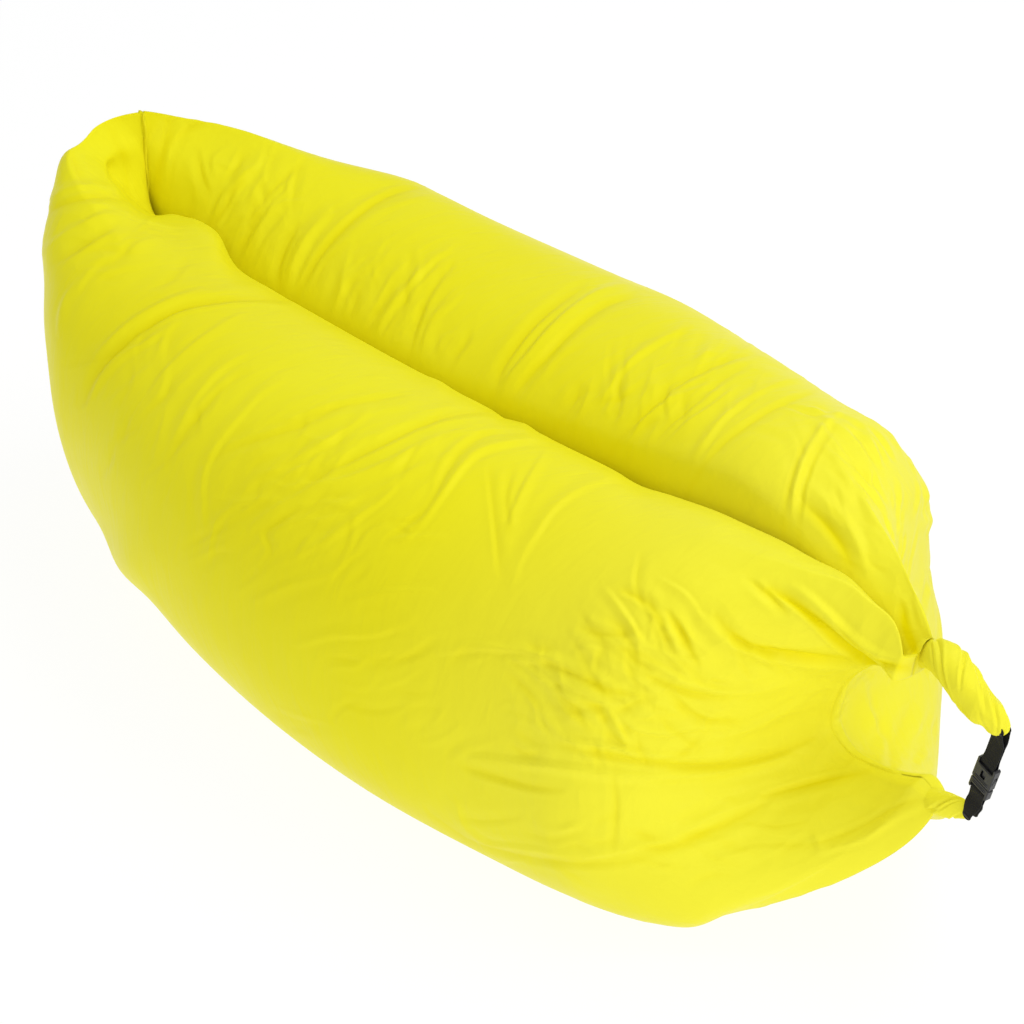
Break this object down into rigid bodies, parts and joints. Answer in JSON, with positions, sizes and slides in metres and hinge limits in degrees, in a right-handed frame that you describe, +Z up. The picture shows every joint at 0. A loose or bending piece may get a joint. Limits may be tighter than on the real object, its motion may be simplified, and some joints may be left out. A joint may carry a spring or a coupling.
{
  "type": "inflatable air lounger",
  "caption": "Inflatable air lounger: long cloth sleeves side by side form a lying groove, and the rolled mouth is bent into a loop closed by a side-release buckle.",
  "frame": {"origin": "centre of the bounding box's bottom face, on the floor between the sleeves", "axes": "+X along the sleeves from the closed end to the rolled mouth and buckle, +Y from the near sleeve to the far sleeve, +Z up from the floor"},
  "size_m": [1.9771, 0.915, 0.562],
  "materials": {
    "yellow_cloth": "thin coated ripstop cloth with a soft sheen and fine wrinkles",
    "bladder_film": "thin milky air-tight film",
    "seam_cloth": "folded and stitched seam allowance",
    "stiffener_plastic": "thin flexible strip",
    "black_webbing": "ribbed woven webbing",
    "black_thread": "dense bar tack stitches",
    "buckle_plastic": "moulded acetal with finger ribs"
  },
  "bodies": {
    "lounger": {"near_sleeve": "yellow_cloth", "far_sleeve": "yellow_cloth", "near_air_bladder": "bladder_film", "far_air_bladder": "bladder_film", "spine_seam": "seam_cloth", "closed_end_hem": "seam_cloth", "mouth_roll": "yellow_cloth", "mouth_stiffener": "stiffener_plastic", "upper_webbing": "black_webbing", "lower_webbing": "black_webbing", "upper_tack_near": "black_thread", "upper_tack_far": "black_thread", "lower_tack_near": "black_thread", "lower_tack_far": "black_thread", "buckle_male": "buckle_plastic"},
    "female_half": {"buckle_female": "buckle_plastic"},
    "prong_left": {"prong_left": "buckle_plastic"},
    "prong_right": {"prong_right": "buckle_plastic"}
  },
  "joints": [
    {"name": "buckle_release", "type": "slide", "parent": "lounger", "child": "female_half", "axis": [0.3183, 0, 0.948], "range_m": [0, 0.026], "deforming": ["upper_webbing", "prong_left", "prong_right"]},
    {"name": "prong_left_flex", "type": "hinge", "parent": "lounger", "child": "prong_left", "pos_m": [0.95299, 0, 0.32779], "axis": [0, -1, 0], "range_deg": [0, 12], "stiffness_Nm_per_rad": 0.7},
    {"name": "prong_right_flex", "type": "hinge", "parent": "lounger", "child": "prong_right", "pos_m": [0.93394, 0, 0.33419], "axis": [0, 1, 0], "range_deg": [0, 12], "stiffness_Nm_per_rad": 0.7}
  ]
}
